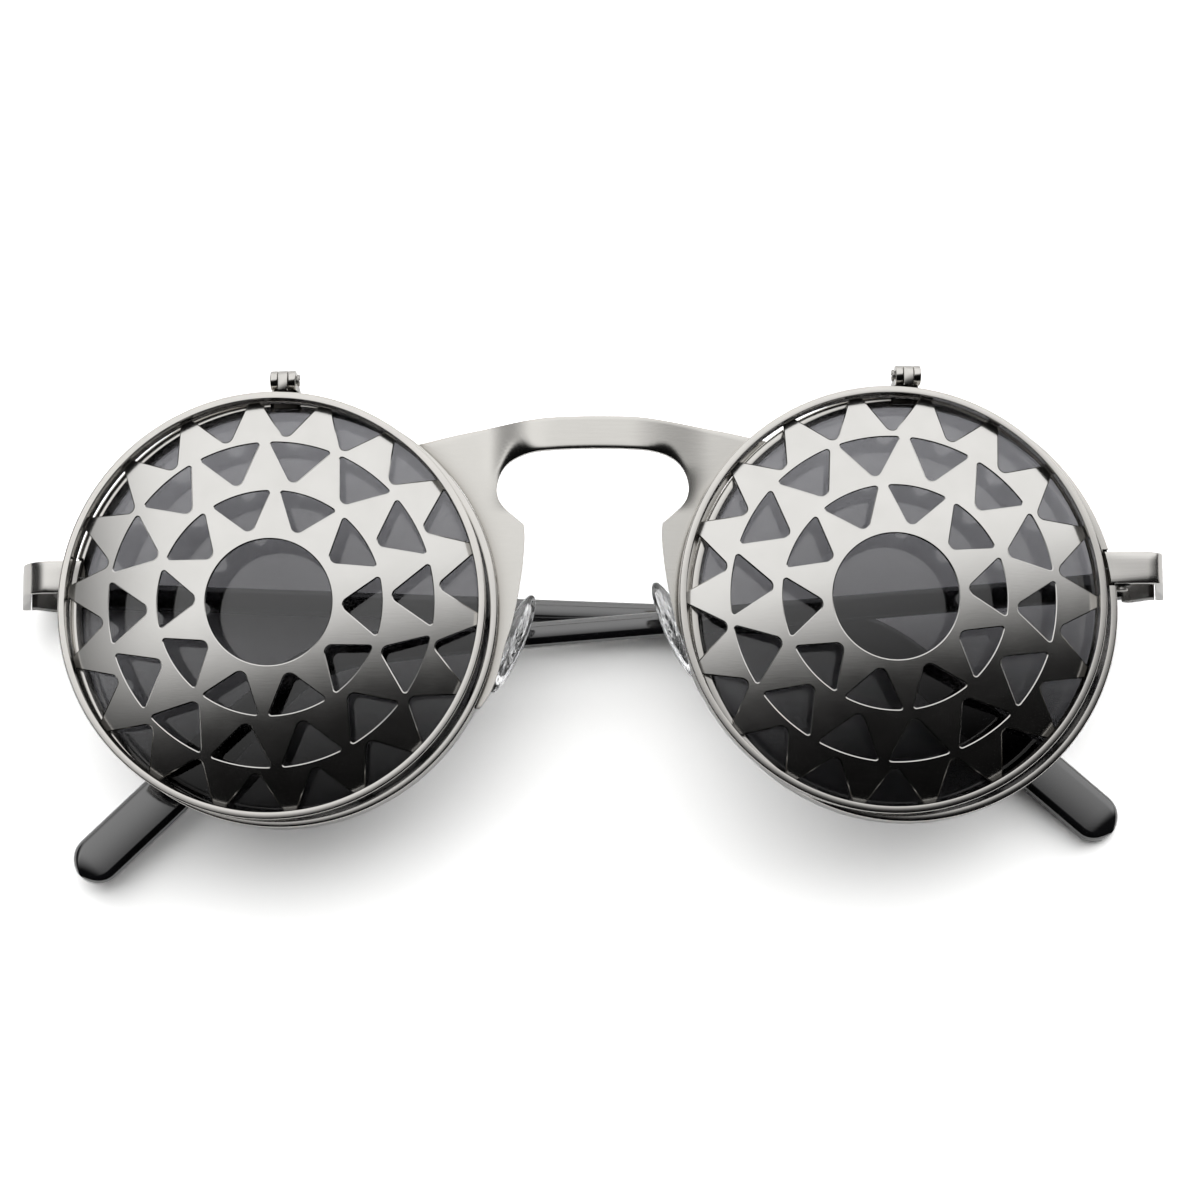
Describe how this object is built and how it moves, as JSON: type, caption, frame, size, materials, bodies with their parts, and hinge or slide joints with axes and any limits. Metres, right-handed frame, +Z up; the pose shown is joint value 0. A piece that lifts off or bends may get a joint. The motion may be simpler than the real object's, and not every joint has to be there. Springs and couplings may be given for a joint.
{
  "type": "sunglasses",
  "caption": "Round metal sunglasses with pierced sunburst covers that flip up, clear nose pads on wire arms and dark temples folded behind the lenses.",
  "frame": {"origin": "on the table, under the middle of the bounding box", "axes": "+X runs from the left hinge to the right hinge as seen from the front, +Y points to the brow, +Z points up, out of the lenses"},
  "size_m": [0.1464, 0.0628, 0.0291],
  "materials": {
    "steel": "satin nickel plating",
    "screw_steel": "plain steel screws",
    "lens": "dark grey tint, glossy",
    "pad": "clear, slightly cloudy",
    "temple": "glossy black"
  },
  "bodies": {
    "front": {"bridge_plate": "steel", "left_rim": "steel", "left_lens": "lens", "left_end_piece": "steel", "left_closing_block_upper": "steel", "left_closing_block_lower": "steel", "left_closing_screw": "screw_steel", "left_flip_clevis": "steel", "left_flip_pin": "screw_steel", "left_pad_box": "steel", "left_pad_screw": "screw_steel", "left_pad_arm": "steel", "left_front_hinge": "steel", "left_hinge_screw": "screw_steel", "right_rim": "steel", "right_lens": "lens", "right_end_piece": "steel", "right_closing_block_upper": "steel", "right_closing_block_lower": "steel", "right_closing_screw": "screw_steel", "right_flip_clevis": "steel", "right_flip_pin": "screw_steel", "right_pad_box": "steel", "right_pad_screw": "screw_steel", "right_pad_arm": "steel", "right_front_hinge": "steel", "right_hinge_screw": "screw_steel"},
    "left_cover": {"left_cover_ring": "steel", "left_sunburst": "steel", "left_flip_tongue": "steel"},
    "left_nose_pad": {"left_pad": "pad"},
    "left_arm": {"left_temple": "temple", "left_temple_core": "steel"},
    "right_cover": {"right_cover_ring": "steel", "right_sunburst": "steel", "right_flip_tongue": "steel"},
    "right_nose_pad": {"right_pad": "pad"},
    "right_arm": {"right_temple": "temple", "right_temple_core": "steel"}
  },
  "joints": [
    {"name": "left_cover_lift", "type": "hinge", "parent": "front", "child": "left_cover", "pos_m": [-0.0392, 0.03017, 0.02289], "axis": [-0.9931, 0, -0.1175], "range_deg": [0, 100]},
    {"name": "left_arm_fold", "type": "hinge", "parent": "front", "child": "left_arm", "pos_m": [-0.06885, 0.00612, 0.00425], "axis": [0, 1, 0], "range_deg": [0, 91]},
    {"name": "left_pad_rock", "type": "hinge", "parent": "front", "child": "left_nose_pad", "pos_m": [-0.01278, -0.00163, 0.01789], "axis": [0.3273, -0.1527, 0.9325], "range_deg": [-8, 8]},
    {"name": "right_cover_lift", "type": "hinge", "parent": "front", "child": "right_cover", "pos_m": [0.03902, 0.03017, 0.02554], "axis": [-0.9988, 0, 0.048], "range_deg": [0, 100]},
    {"name": "right_arm_fold", "type": "hinge", "parent": "front", "child": "right_arm", "pos_m": [0.06889, 0.00612, 0.00906], "axis": [0, -1, 0], "range_deg": [0, 94]},
    {"name": "right_pad_rock", "type": "hinge", "parent": "front", "child": "right_nose_pad", "pos_m": [0.01201, -0.00013, 0.01876], "axis": [-0.3916, -0.1527, 0.9074], "range_deg": [-8, 8]}
  ]
}
